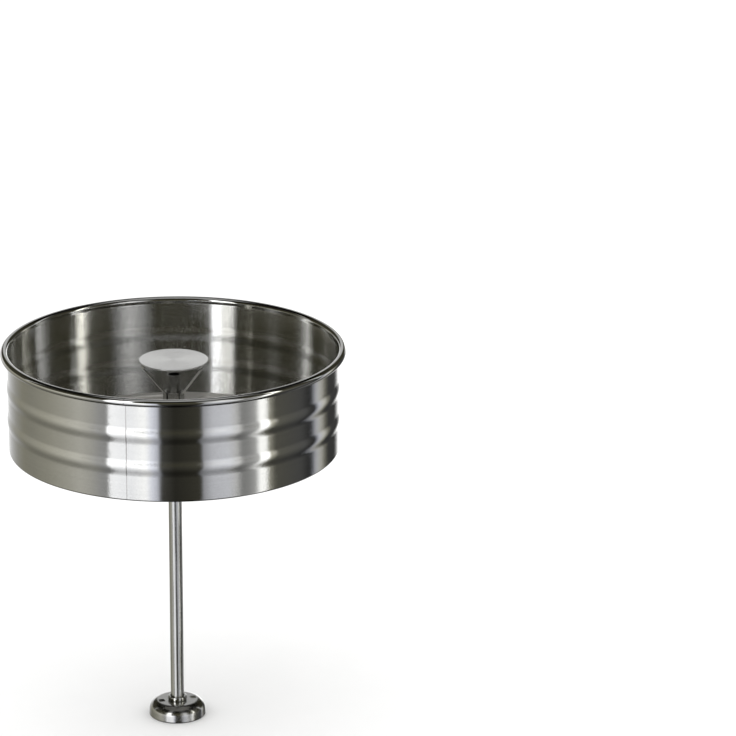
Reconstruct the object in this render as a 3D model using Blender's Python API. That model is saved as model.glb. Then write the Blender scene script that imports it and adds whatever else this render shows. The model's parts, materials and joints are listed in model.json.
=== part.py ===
"""Strainer basket of a percolator coffee urn, standing on its pump stem.

The stem is a steel tube on a small bell-shaped foot. Inside the foot a loose washer is the
one-way valve. A ring on the tube carries the basket: a seam-welded wall with a rolled rim,
a pressed sieve plate, a centre sleeve that slides over the tube, and a splash disc on three
strip legs above the tube's mouth. The origin is on the axis, on the foot's underside.
"""

import math

import bmesh
import bpy
from mathutils import Vector

MM = 0.001

# Room between pieces that touch, and round pieces that slide.
TOUCH_GAP = 0.3 * MM
SLEEVE_RUNNING_GAP = 0.6 * MM
WASHER_RUNNING_GAP = 0.5 * MM

# Pump tube.
TUBE_RADIUS = 4.0 * MM
TUBE_WALL = 0.5 * MM
TUBE_FOOT_CLEARANCE = 4.0 * MM
TUBE_FLARE_WIDTH = 1.8 * MM
TUBE_FLARE_BEND = 0.6 * MM
TUBE_ABOVE_SLEEVE = 10.3 * MM

# Foot: a pressed bell with a turned-in hem and inlet slots in its crown.
FOOT_RADIUS = 17.2 * MM
FOOT_HEIGHT = 9.5 * MM
FOOT_SHEET = 0.6 * MM
FOOT_CROWN_RADIUS = 11.0 * MM
FOOT_SHOULDER_RADIUS = 6.0 * MM
FOOT_HEM_BEND = 1.0 * MM
FOOT_HEM_WIDTH = 1.6 * MM
INLET_COUNT = 2
INLET_CENTRE_RADIUS = 9.8 * MM
INLET_LENGTH = 3.5 * MM
INLET_WIDTH = 4.0 * MM
INLET_START_DEG = 14.0

# Ferrule that joins the tube to the foot.
FERRULE_NECK_WALL = 0.4 * MM
FERRULE_FLANGE = 0.9 * MM
FERRULE_HEIGHT = 2.2 * MM
FERRULE_CHAMFER = 0.5 * MM

# Valve washer.
WASHER_RADIUS = 11.8 * MM
WASHER_THICKNESS = 0.8 * MM

# Ring on the tube that the basket rests on.
STOP_WALL = 2.0 * MM
STOP_HEIGHT = 4.0 * MM
STOP_CHAMFER = 0.5 * MM

# Basket wall.
BASKET_BASE_HEIGHT = 172.0 * MM
BASKET_HEIGHT = 63.0 * MM
WALL_RADIUS = 98.3 * MM
WALL_SHEET = 0.5 * MM
WALL_BASE_BEND = 0.9 * MM
WALL_LIP_WIDTH = 2.6 * MM
RIM_ROLL_DIAMETER = 4.7 * MM
RIM_ROLL_END_DEG = -120.0
RIB_COUNT = 2
RIB_WIDTH = 10.6 * MM
RIB_DEPTH = 0.65 * MM
RIB_RAISE = 0.7 * MM

# Sieve plate: six pressed fields between spokes, and a skirt that stands on the wall's lip.
PLATE_SHEET = 0.5 * MM
PLATE_SKIRT = 1.0 * MM
PLATE_EDGE_BEND = 0.7 * MM
FIELD_COUNT = 6
FIELD_START_DEG = 53.0
FIELD_DROP = 0.9 * MM
FIELD_INNER_RADIUS = 26.4 * MM
FIELD_OUTER_BORDER = 5.9 * MM
SPOKE_WIDTH = 9.4 * MM
FIELD_INNER_FILLET = 2.0 * MM
FIELD_OUTER_FILLET = 6.0 * MM

# Centre sleeve.
SLEEVE_WALL = 0.7 * MM
SLEEVE_HEIGHT = 34.4 * MM
SLEEVE_LIP_WIDTH = 3.7 * MM
SLEEVE_BEND = 1.0 * MM

# Splash disc and its legs.
DISC_RADIUS = 20.7 * MM
DISC_THICKNESS = 1.0 * MM
DISC_CHAMFER = 0.35 * MM
DISC_ABOVE_SLEEVE = 18.6 * MM
LEG_COUNT = 3
LEG_START_DEG = -37.0
LEG_WIDTH = 3.8 * MM
LEG_SHEET = 0.7 * MM
LEG_BEND = 0.9 * MM
LEG_FOOT_LENGTH = 5.0 * MM
LEG_TOP_LENGTH = 4.5 * MM
LEG_EDGE_INSET = 0.6 * MM
LEG_BEND_BELOW_SLEEVE_TOP = 1.2 * MM

# How finely round pieces are divided.
BASKET_SEGMENTS = 60
FOOT_SEGMENTS = 36
SMALL_SEGMENTS = 28
ARC_STEP_DEG = 30.0
CURL_STEP_DEG = 33.0
FILLET_STEPS = 3
SMOOTH_ANGLE_DEG = 35.0
MERGE_DISTANCE = 0.001 * MM

# Places that follow from the sizes above.
TUBE_INNER_RADIUS = TUBE_RADIUS - TUBE_WALL
TUBE_CLEAR_RADIUS = TUBE_RADIUS + TOUCH_GAP
WASHER_REST = TUBE_FOOT_CLEARANCE + TUBE_WALL + TOUCH_GAP
WALL_MIDDLE_RADIUS = WALL_RADIUS - WALL_SHEET / 2
SKIRT_FOOT = WALL_SHEET + TOUCH_GAP
PLATE_UNDERSIDE = SKIRT_FOOT + PLATE_SKIRT
PLATE_RADIUS = WALL_MIDDLE_RADIUS - WALL_BASE_BEND
SLEEVE_INNER_RADIUS = TUBE_RADIUS + SLEEVE_RUNNING_GAP
SLEEVE_RADIUS = SLEEVE_INNER_RADIUS + SLEEVE_WALL
SLEEVE_BOTTOM = PLATE_UNDERSIDE - TOUCH_GAP - SLEEVE_WALL
SLEEVE_TOP = SLEEVE_BOTTOM + SLEEVE_HEIGHT
DISC_UNDERSIDE = SLEEVE_TOP + DISC_ABOVE_SLEEVE
TUBE_TOP = BASKET_BASE_HEIGHT + SLEEVE_TOP + TUBE_ABOVE_SLEEVE
STOP_TOP = BASKET_BASE_HEIGHT + SLEEVE_BOTTOM - TOUCH_GAP

STEEL = {
    "brushed_steel": ((0.60, 0.59, 0.57), 0.28),
    "satin_steel": ((0.72, 0.71, 0.70), 0.42),
    "polished_steel": ((0.66, 0.66, 0.65), 0.18),
    "dark_steel": ((0.46, 0.46, 0.45), 0.35),
}


def clear_scene():
    """Remove every object that the scene starts with."""
    for thing in list(bpy.data.objects):
        bpy.data.objects.remove(thing, do_unlink=True)


def steel(name, finish):
    """Steel for one piece, in one of the finishes above."""
    colour, roughness = STEEL[finish]
    material = bpy.data.materials.new(name)
    material.use_nodes = True
    shader = material.node_tree.nodes["Principled BSDF"]
    shader.inputs["Base Color"].default_value = (*colour, 1.0)
    shader.inputs["Metallic"].default_value = 1.0
    shader.inputs["Roughness"].default_value = roughness
    return material


def finish_object(name, shape, finish, parent=None):
    """Make an object from a bmesh, shade it and hang it on its parent."""
    mesh = bpy.data.meshes.new(name)
    bmesh.ops.recalc_face_normals(shape, faces=shape.faces)
    shape.to_mesh(mesh)
    shape.free()
    mesh.shade_smooth()
    mesh.set_sharp_from_angle(angle=math.radians(SMOOTH_ANGLE_DEG))
    mesh.materials.append(steel(name, finish))
    piece = bpy.data.objects.new(name, mesh)
    bpy.context.scene.collection.objects.link(piece)
    piece.parent = parent
    return piece


def axis_empty(name, height):
    """An empty on the common axis, which carries the pieces that move together."""
    empty = bpy.data.objects.new(name, None)
    empty.location = (0.0, 0.0, height)
    bpy.context.scene.collection.objects.link(empty)
    return empty


def direction(angle_deg):
    """Unit vector at an angle in the radius-height plane."""
    angle = math.radians(angle_deg)
    return Vector((math.cos(angle), math.sin(angle)))


def arc_angles(start_deg, end_deg, step_deg=ARC_STEP_DEG):
    """Angles from start to end in equal steps no larger than step_deg."""
    count = max(2, math.ceil(abs(end_deg - start_deg) / step_deg))
    return [start_deg + (end_deg - start_deg) * i / count for i in range(count + 1)]


def common_tangent(first, first_radius, second, second_radius, branch):
    """Facing, in degrees, of the line that touches two circles on its own side."""
    apart = first - second
    lean = math.degrees(math.atan2(apart.y, apart.x))
    turn = math.degrees(math.acos((second_radius - first_radius) / apart.length))
    return lean + branch * turn


def sheet_outline(stations, thickness):
    """Closed outline of a sheet from (point on its middle, facing in degrees) pairs."""
    outer = [point + direction(facing) * thickness / 2 for point, facing in stations]
    inner = [point - direction(facing) * thickness / 2 for point, facing in stations]
    return outer + inner[::-1]


def turned(outline, segments, closed=True):
    """Spin (radius, height) points round the vertical axis into one closed skin."""
    shape = bmesh.new()
    ring = [shape.verts.new((radius, 0.0, height)) for radius, height in outline]
    following = ring[1:] + ring[:1] if closed else ring[1:]
    edges = [shape.edges.new(pair) for pair in zip(ring, following)]
    bmesh.ops.spin(
        shape,
        geom=ring + edges,
        cent=(0.0, 0.0, 0.0),
        axis=(0.0, 0.0, 1.0),
        angle=math.tau,
        steps=segments,
    )
    bmesh.ops.remove_doubles(shape, verts=shape.verts, dist=MERGE_DISTANCE)
    return shape


def prism(shape, outline, low, high):
    """Add an upright prism over an outline in the ground plane."""
    base = shape.faces.new([shape.verts.new((x, y, low)) for x, y in outline])
    rise = bmesh.ops.extrude_face_region(shape, geom=[base])
    lifted = [item for item in rise["geom"] if isinstance(item, bmesh.types.BMVert)]
    bmesh.ops.translate(shape, verts=lifted, vec=(0.0, 0.0, high - low))


def turned_about_z(outline, angle_deg):
    """The outline turned about the axis."""
    along = direction(angle_deg)
    across = Vector((-along.y, along.x))
    return [along * x + across * y for x, y in outline]


def cutter(name, shape, parent=None):
    """A shape that only cuts or joins another, hidden from the build."""
    tool = finish_object(name, shape, "dark_steel", parent)
    tool.hide_render = True
    tool.display_type = "WIRE"
    return tool


def boolean(piece, tool, operation):
    """Join or cut a piece with a tool by a live modifier."""
    modifier = piece.modifiers.new(tool.name, "BOOLEAN")
    modifier.operation = operation
    modifier.solver = "EXACT"
    modifier.object = tool


def flanged_tube(inner_radius, wall, flange_radius, bend, bottom, top):
    """Outline of a tube whose lower end is turned out into a flat flange."""
    middle = inner_radius + wall / 2
    centre = Vector((middle + bend, bottom + wall / 2 + bend))
    stations = [(Vector((flange_radius, bottom + wall / 2)), -90.0)]
    stations += [(centre + direction(a) * bend, a) for a in arc_angles(-90.0, -180.0)]
    stations += [(Vector((middle, top)), -180.0)]
    return sheet_outline(stations, wall)


def ring_outline(inner_radius, outer_radius, low, high, chamfer):
    """Outline of a ring with its outer edges chamfered."""
    return [
        (inner_radius, low),
        (outer_radius - chamfer, low),
        (outer_radius, low + chamfer),
        (outer_radius, high - chamfer),
        (outer_radius - chamfer, high),
        (inner_radius, high),
    ]


def make_pump_tube():
    """The riser, open at both ends, with a flare that keeps the washer on."""
    outline = flanged_tube(
        TUBE_INNER_RADIUS,
        TUBE_WALL,
        TUBE_RADIUS + TUBE_FLARE_WIDTH,
        TUBE_FLARE_BEND,
        TUBE_FOOT_CLEARANCE,
        TUBE_TOP,
    )
    finish_object("pump_tube", turned(outline, SMALL_SEGMENTS), "brushed_steel")


def foot_outline():
    """Sheet outline of the bell: crown, shoulder, leaning side and turned-in hem."""
    half = FOOT_SHEET / 2
    shoulder = Vector((FOOT_CROWN_RADIUS, FOOT_HEIGHT - FOOT_SHOULDER_RADIUS))
    hem = Vector((FOOT_RADIUS - FOOT_HEM_BEND, FOOT_HEM_BEND))
    lean = common_tangent(shoulder, FOOT_SHOULDER_RADIUS, hem, FOOT_HEM_BEND, -1)
    hole = TUBE_CLEAR_RADIUS + FERRULE_NECK_WALL + TOUCH_GAP
    stations = [(Vector((hole, FOOT_HEIGHT - half)), 90.0)]
    for angle in arc_angles(90.0, lean, ARC_STEP_DEG / 2):
        stations.append((shoulder + direction(angle) * (FOOT_SHOULDER_RADIUS - half), angle))
    for angle in arc_angles(lean, -90.0):
        stations.append((hem + direction(angle) * (FOOT_HEM_BEND - half), angle))
    stations.append((Vector((hem.x - FOOT_HEM_WIDTH, half)), -90.0))
    return sheet_outline(stations, FOOT_SHEET)


def make_pump_foot():
    """The bell-shaped foot with its inlet slots."""
    foot = finish_object(
        "pump_foot", turned(foot_outline(), FOOT_SEGMENTS), "polished_steel"
    )
    shape = bmesh.new()
    half_length, half_width = INLET_LENGTH / 2, INLET_WIDTH / 2
    near, far = INLET_CENTRE_RADIUS - half_length, INLET_CENTRE_RADIUS + half_length
    slot = [(near, -half_width), (far, -half_width), (far, half_width), (near, half_width)]
    low, high = FOOT_HEIGHT - 2 * FOOT_SHEET, FOOT_HEIGHT + FOOT_SHEET
    for i in range(INLET_COUNT):
        angle = INLET_START_DEG + 360.0 * i / INLET_COUNT
        prism(shape, turned_about_z(slot, angle), low, high)
    boolean(foot, cutter("inlet_cutter", shape), "DIFFERENCE")


def make_foot_ferrule():
    """The collar whose neck passes through the foot's crown."""
    neck = TUBE_CLEAR_RADIUS + FERRULE_NECK_WALL
    rim = neck + FERRULE_FLANGE
    seat = FOOT_HEIGHT + TOUCH_GAP
    top = seat + FERRULE_HEIGHT
    outline = [
        (TUBE_CLEAR_RADIUS, FOOT_HEIGHT - FOOT_SHEET),
        (neck, FOOT_HEIGHT - FOOT_SHEET),
        (neck, seat),
        (rim, seat),
        (rim, top - FERRULE_CHAMFER),
        (rim - FERRULE_CHAMFER, top),
        (TUBE_CLEAR_RADIUS, top),
    ]
    finish_object("foot_ferrule", turned(outline, SMALL_SEGMENTS), "polished_steel")


def make_basket_stop():
    """The ring on the tube that carries the basket."""
    outline = ring_outline(
        TUBE_CLEAR_RADIUS,
        TUBE_CLEAR_RADIUS + STOP_WALL,
        STOP_TOP - STOP_HEIGHT,
        STOP_TOP,
        STOP_CHAMFER,
    )
    finish_object("basket_stop", turned(outline, SMALL_SEGMENTS), "brushed_steel")


def make_valve_washer(valve_axis):
    """The loose washer, lying on the tube's flare."""
    inner = TUBE_RADIUS + WASHER_RUNNING_GAP
    outline = [
        (inner, 0.0),
        (WASHER_RADIUS, 0.0),
        (WASHER_RADIUS, WASHER_THICKNESS),
        (inner, WASHER_THICKNESS),
    ]
    finish_object("valve_washer", turned(outline, FOOT_SEGMENTS), "satin_steel", valve_axis)


def rib_station(height, middle):
    """Sheet middle and facing at a height on the raised rib centred on middle."""
    phase = math.tau * (height - middle) / RIB_WIDTH
    bulge = RIB_DEPTH / 2 * (1 + math.cos(phase))
    slope = -RIB_DEPTH / 2 * math.sin(phase) * math.tau / RIB_WIDTH
    facing = math.degrees(math.atan2(-slope, 1.0))
    return Vector((WALL_MIDDLE_RADIUS + bulge, height)), facing


def wall_stations():
    """The wall from the inner edge of its lip up to the end of the rolled rim."""
    half = WALL_SHEET / 2
    bend = Vector((WALL_MIDDLE_RADIUS - WALL_BASE_BEND, half + WALL_BASE_BEND))
    stations = [(Vector((bend.x - WALL_LIP_WIDTH, half)), -90.0)]
    stations += [(bend + direction(a) * WALL_BASE_BEND, a) for a in arc_angles(-90.0, 0.0)]
    straight = BASKET_HEIGHT - RIM_ROLL_DIAMETER
    for i in range(RIB_COUNT):
        middle = straight * (i + 1) / (RIB_COUNT + 1) + RIB_RAISE
        for step in (-0.5, -0.3, -0.15, 0.0, 0.15, 0.3, 0.5):
            stations.append(rib_station(middle + step * RIB_WIDTH, middle))
    roll = (RIM_ROLL_DIAMETER - WALL_SHEET) / 2
    centre = Vector((WALL_MIDDLE_RADIUS + roll, BASKET_HEIGHT - RIM_ROLL_DIAMETER / 2))
    for angle in arc_angles(180.0, RIM_ROLL_END_DEG, CURL_STEP_DEG):
        stations.append((centre + direction(angle) * roll, angle + 180.0))
    return stations


def make_basket_wall(basket_axis):
    """The wall band: lip, two raised ribs and a rim rolled to the outside."""
    outline = sheet_outline(wall_stations(), WALL_SHEET)
    finish_object(
        "basket_wall", turned(outline, BASKET_SEGMENTS), "brushed_steel", basket_axis
    )


def field_outline(grow):
    """Outline of one pressed field along +X, moved outwards by grow on all sides."""
    half_spoke = SPOKE_WIDTH / 2 - grow
    inner = FIELD_INNER_RADIUS - grow
    outer = PLATE_RADIUS - FIELD_OUTER_BORDER + grow
    inner_fillet = FIELD_INNER_FILLET
    outer_fillet = FIELD_OUTER_FILLET
    along = direction(-180.0 / FIELD_COUNT)
    across = Vector((-along.y, along.x))

    def corner(arc_radius, fillet, sign):
        reach = arc_radius - sign * fillet
        aside = half_spoke + fillet
        return along * math.sqrt(reach**2 - aside**2) + across * aside

    def arc(centre, fillet, start, end):
        sweep = (start - end + 180.0) % 360.0 - 180.0
        steps = [start - sweep * i / FILLET_STEPS for i in range(FILLET_STEPS + 1)]
        return [centre + direction(angle) * fillet for angle in steps]

    spoke_side = math.degrees(math.atan2(-across.y, -across.x))
    low_in, low_out = corner(inner, inner_fillet, -1), corner(outer, outer_fillet, 1)
    bearing_in = math.degrees(math.atan2(low_in.y, low_in.x))
    bearing_out = math.degrees(math.atan2(low_out.y, low_out.x))
    lower = arc(low_in, inner_fillet, bearing_in + 180.0, spoke_side)
    lower += arc(low_out, outer_fillet, spoke_side, bearing_out)
    rim = [direction(a) * outer for a in arc_angles(bearing_out, -bearing_out, 12.0)[1:-1]]
    upper = [Vector((point.x, -point.y)) for point in lower[::-1]]
    hub = [direction(a) * inner for a in arc_angles(-bearing_in, bearing_in, 12.0)[1:-1]]
    return lower + rim + upper + hub


def field_tool(name, grow, low, high, basket_axis):
    """One prism for each pressed field."""
    shape = bmesh.new()
    for i in range(FIELD_COUNT):
        angle = FIELD_START_DEG + 360.0 * i / FIELD_COUNT
        prism(shape, turned_about_z(field_outline(grow), angle), low, high)
    return cutter(name, shape, basket_axis)


def plate_stations():
    """The plate from its centre hole out to the foot of its skirt."""
    half = PLATE_SHEET / 2
    middle = PLATE_UNDERSIDE + half
    edge = Vector((PLATE_RADIUS - PLATE_EDGE_BEND, middle + half - PLATE_EDGE_BEND))
    stations = [(Vector((SLEEVE_RADIUS + TOUCH_GAP, middle)), 90.0)]
    for angle in arc_angles(90.0, 0.0):
        stations.append((edge + direction(angle) * (PLATE_EDGE_BEND - half), angle))
    stations.append((Vector((PLATE_RADIUS - half, SKIRT_FOOT)), 0.0))
    return stations


def make_sieve_plate(basket_axis):
    """The pressed plate: flat hub, spokes and border round six sunken fields."""
    outline = sheet_outline(plate_stations(), PLATE_SHEET)
    plate = finish_object(
        "sieve_plate", turned(outline, BASKET_SEGMENTS), "satin_steel", basket_axis
    )
    sunk = PLATE_UNDERSIDE - FIELD_DROP
    middle = PLATE_UNDERSIDE + PLATE_SHEET / 2
    above = PLATE_UNDERSIDE + 2 * PLATE_SHEET
    boss = field_tool("field_boss", PLATE_SHEET / 2, sunk, middle, basket_axis)
    recess = field_tool(
        "field_recess", -PLATE_SHEET / 2, sunk + PLATE_SHEET, above, basket_axis
    )
    boolean(plate, boss, "UNION")
    boolean(plate, recess, "DIFFERENCE")


def make_centre_sleeve(basket_axis):
    """The sleeve that slides over the pump tube, flanged under the plate."""
    outline = flanged_tube(
        SLEEVE_INNER_RADIUS,
        SLEEVE_WALL,
        SLEEVE_RADIUS + SLEEVE_LIP_WIDTH,
        SLEEVE_BEND,
        SLEEVE_BOTTOM,
        SLEEVE_TOP,
    )
    finish_object(
        "centre_sleeve", turned(outline, SMALL_SEGMENTS), "brushed_steel", basket_axis
    )


def make_splash_disc(basket_axis):
    """The flat disc that turns the jet back down over the sieve."""
    low, high = DISC_UNDERSIDE, DISC_UNDERSIDE + DISC_THICKNESS
    outline = [
        (0.0, low),
        (DISC_RADIUS - DISC_CHAMFER, low),
        (DISC_RADIUS, low + DISC_CHAMFER),
        (DISC_RADIUS, high - DISC_CHAMFER),
        (DISC_RADIUS - DISC_CHAMFER, high),
        (0.0, high),
    ]
    shape = turned(outline, BASKET_SEGMENTS, closed=False)
    finish_object("splash_disc", shape, "satin_steel", basket_axis)


def leg_stations():
    """One leg: a tab down the sleeve, a slanted strip and a tab under the disc."""
    half = LEG_SHEET / 2
    tab = SLEEVE_RADIUS + TOUCH_GAP + half
    turn = SLEEVE_TOP - LEG_BEND_BELOW_SLEEVE_TOP
    top = DISC_UNDERSIDE - TOUCH_GAP - half
    edge = DISC_RADIUS - LEG_EDGE_INSET - half
    lower = Vector((tab + LEG_BEND, turn))
    upper = Vector((edge - LEG_BEND, top - LEG_BEND))
    facing = common_tangent(lower, -LEG_BEND, upper, LEG_BEND, 1)
    stations = [(Vector((tab, turn - LEG_FOOT_LENGTH)), 0.0)]
    for angle in arc_angles(0.0, facing):
        stations.append((lower - direction(angle) * LEG_BEND, angle))
    for angle in arc_angles(facing, 90.0):
        stations.append((upper + direction(angle) * LEG_BEND, angle))
    stations.append((Vector((upper.x - LEG_TOP_LENGTH, top)), 90.0))
    return stations


def make_disc_leg(name, angle_deg, basket_axis):
    """A bent strip leg that holds the splash disc over the sleeve."""
    shape = bmesh.new()
    half_width = LEG_WIDTH / 2
    outline = sheet_outline(leg_stations(), LEG_SHEET)
    side = shape.faces.new(
        [shape.verts.new((radius, -half_width, height)) for radius, height in outline]
    )
    sweep = bmesh.ops.extrude_face_region(shape, geom=[side])
    moved = [item for item in sweep["geom"] if isinstance(item, bmesh.types.BMVert)]
    bmesh.ops.translate(shape, verts=moved, vec=(0.0, LEG_WIDTH, 0.0))
    leg = finish_object(name, shape, "brushed_steel", basket_axis)
    leg.rotation_euler.z = math.radians(angle_deg)


def make_pump():
    """The standing half: tube, foot, ferrule and basket stop."""
    make_pump_tube()
    make_pump_foot()
    make_foot_ferrule()
    make_basket_stop()


def make_basket():
    """The half that lifts off the tube."""
    basket_axis = axis_empty("basket_axis", BASKET_BASE_HEIGHT)
    make_basket_wall(basket_axis)
    make_sieve_plate(basket_axis)
    make_centre_sleeve(basket_axis)
    make_splash_disc(basket_axis)
    for i in range(LEG_COUNT):
        angle = LEG_START_DEG + 360.0 * i / LEG_COUNT
        make_disc_leg(f"disc_leg_{i + 1}", angle, basket_axis)


def main():
    clear_scene()
    make_pump()
    make_valve_washer(axis_empty("valve_axis", WASHER_REST))
    make_basket()


main()
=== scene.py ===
"""Strainer basket of a coffee percolator on its pump stem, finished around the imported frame.

The basket is a seam-welded band with a rolled rim, a pressed and perforated sieve, a guide
sleeve and a splash disc on three strip legs. It sits on a drawn tube that stands in a
bell-shaped foot. Sizes are in metres and places come from the frame's nodes.
"""

import json
import logging
import math
from collections.abc import Callable, Iterator, Sequence
from contextlib import contextmanager
from dataclasses import dataclass
from enum import Enum
from itertools import pairwise
from typing import Any

import bmesh
import bpy
from mathutils import Matrix, Vector

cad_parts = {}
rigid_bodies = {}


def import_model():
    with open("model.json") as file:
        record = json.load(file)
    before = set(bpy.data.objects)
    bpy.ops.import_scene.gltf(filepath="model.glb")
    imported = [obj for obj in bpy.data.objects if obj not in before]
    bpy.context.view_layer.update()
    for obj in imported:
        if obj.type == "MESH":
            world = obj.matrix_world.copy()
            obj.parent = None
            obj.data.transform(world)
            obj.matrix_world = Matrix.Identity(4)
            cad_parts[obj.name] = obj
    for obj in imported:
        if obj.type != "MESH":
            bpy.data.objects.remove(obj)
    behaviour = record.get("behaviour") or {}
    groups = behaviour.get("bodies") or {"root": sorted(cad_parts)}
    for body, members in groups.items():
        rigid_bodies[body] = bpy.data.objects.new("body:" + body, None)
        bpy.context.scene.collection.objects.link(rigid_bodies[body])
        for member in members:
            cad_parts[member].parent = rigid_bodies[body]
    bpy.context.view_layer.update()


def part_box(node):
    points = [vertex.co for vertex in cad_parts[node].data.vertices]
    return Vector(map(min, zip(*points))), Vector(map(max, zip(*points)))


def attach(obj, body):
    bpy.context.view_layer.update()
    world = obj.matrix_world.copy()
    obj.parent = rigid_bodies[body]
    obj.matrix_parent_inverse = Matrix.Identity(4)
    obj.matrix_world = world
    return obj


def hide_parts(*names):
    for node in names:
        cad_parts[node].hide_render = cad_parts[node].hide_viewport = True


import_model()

MM = 0.001
MERGE_DISTANCE = 0.001 * MM
BEND_STEP_DEG = 10.0
LOG = logging.getLogger("strainer")

Station = tuple[Vector, float]


class Body(Enum):
    """The bodies that a piece can move with."""

    PUMP = "pump"
    VALVE = "valve"
    BASKET = "basket"


class Slot(Enum):
    """The record's material slots."""

    WALL = "wall_steel"
    SIEVE = "sieve_steel"
    DISC = "disc_steel"
    STRIP = "strip_steel"
    TUBE = "tube_steel"
    FOOT = "foot_steel"
    WASHER = "washer_steel"


class SelectBy(Enum):
    """What a selection in edit mode is made of."""

    VERTEX = "VERT"
    EDGE = "EDGE"
    FACE = "FACE"


class Grain(Enum):
    """Which way the grinding marks run.

    The gloss spreads across them, and each value is how far that is turned from the way round
    the axis, as a share of a turn.
    """

    LENGTHWISE = 0.0
    ROUND = 0.25


# ---------------------------------------------------------------------------------------
# Outlines
# ---------------------------------------------------------------------------------------


def heading(angle_deg: float) -> Vector:
    """Give the unit vector at an angle in a plane."""
    angle = math.radians(angle_deg)
    return Vector((math.cos(angle), math.sin(angle)))


def arc_angles(start_deg: float, end_deg: float, step_deg: float) -> list[float]:
    """Divide a turn into equal steps.

    Args:
        start_deg: First angle.
        end_deg: Last angle.
        step_deg: Largest step allowed.

    Returns:
        The angles in degrees, both ends included.
    """
    count = max(2, math.ceil(abs(end_deg - start_deg) / step_deg))
    return [start_deg + (end_deg - start_deg) * i / count for i in range(count + 1)]


def bend(centre: Vector, radius: float, angles: Sequence[float], turn: float = 0.0) -> list[Station]:
    """Lay stations of a sheet round a bend.

    Args:
        centre: Centre of the bend.
        radius: Radius to the middle of the sheet, negative for a bend seen from its hollow.
        angles: Angles of the stations, in degrees.
        turn: Degrees from a station's angle to the way its sheet faces.

    Returns:
        Pairs of a point on the middle of the sheet and the way it faces.
    """
    return [(centre + heading(angle) * radius, angle + turn) for angle in angles]


def common_tangent(
    first: Vector, first_radius: float, second: Vector, second_radius: float, branch: int
) -> float:
    """Find the way that a line faces which touches two circles.

    Args:
        first: Centre of the first circle.
        first_radius: Its radius, negative if the line passes on its far side.
        second: Centre of the second circle.
        second_radius: Its radius, negative if the line passes on its far side.
        branch: 1 or -1, which of the two lines.

    Returns:
        The facing in degrees.
    """
    apart = first - second
    lean = math.degrees(math.atan2(apart.y, apart.x))
    turn = math.degrees(math.acos((second_radius - first_radius) / apart.length))
    return lean + branch * turn


def sheet_outline(stations: Sequence[Station], sheet: float, ease: float) -> list[Vector]:
    """Close an outline round a sheet whose cut edges are eased.

    Args:
        stations: Points on the middle of the sheet with the way each faces, in degrees.
        sheet: Thickness of the sheet.
        ease: Width of the bevel along both cut edges.

    Returns:
        The outline's points, once round.
    """
    half = sheet / 2

    def cut_edge(end: Station, inner: Station) -> list[Vector]:
        """Ease one cut edge of the sheet.

        Args:
            end: The station at the edge.
            inner: The station next to it.

        Returns:
            Four points across the edge, front to rear.
        """
        point, facing = end[0], heading(end[1])
        back = (inner[0] - point).normalized() * ease
        near, far = half - ease, half
        return [point + facing * far + back, point + facing * near,
                point - facing * near, point - facing * far + back]

    front = [point + heading(facing) * half for point, facing in stations[1:-1]]
    rear = [point - heading(facing) * half for point, facing in stations[1:-1]]
    start = cut_edge(stations[0], stations[1])
    end = cut_edge(stations[-1], stations[-2])
    return start[1::-1] + front + end + rear[::-1] + start[:1:-1]


def ring_outline(inner: float, outer: float, low: float, high: float, ease: float) -> list[Vector]:
    """Outline of a flat ring with all its edges eased.

    Args:
        inner: Radius of the hole.
        outer: Radius of the rim.
        low: Height of the underside.
        high: Height of the top.
        ease: Width of the bevel on every edge.

    Returns:
        The outline's points, once round.
    """
    return [
        Vector((inner + ease, low)), Vector((outer - ease, low)),
        Vector((outer, low + ease)), Vector((outer, high - ease)),
        Vector((outer - ease, high)), Vector((inner + ease, high)),
        Vector((inner, high - ease)), Vector((inner, low + ease)),
    ]


def flanged(
    middle: float, wall: float, flange_radius: float, bend_radius: float, bottom: float, top: float
) -> list[Station]:
    """Lay stations of a tube whose lower end is turned out flat.

    Args:
        middle: Radius to the middle of the tube's wall.
        wall: Thickness of the wall.
        flange_radius: Radius of the flange's edge.
        bend_radius: Radius of the bend to the middle of the wall.
        bottom: Height of the flange's underside.
        top: Height of the tube's mouth.

    Returns:
        The stations from the flange's edge to the mouth.
    """
    corner = Vector((middle + bend_radius, bottom + wall / 2 + bend_radius))
    stations = [(Vector((flange_radius, bottom + wall / 2)), -90.0)]
    stations += bend(corner, bend_radius, arc_angles(-90.0, -180.0, BEND_STEP_DEG))
    return stations + [(Vector((middle, top)), -180.0)]


# ---------------------------------------------------------------------------------------
# The bench: edit-mode work on one piece at a time
# ---------------------------------------------------------------------------------------


def clear_selection() -> None:
    """Leave nothing selected, so that an operator acts on the piece in hand only."""
    for thing in bpy.context.view_layer.objects:
        thing.select_set(False)


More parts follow.
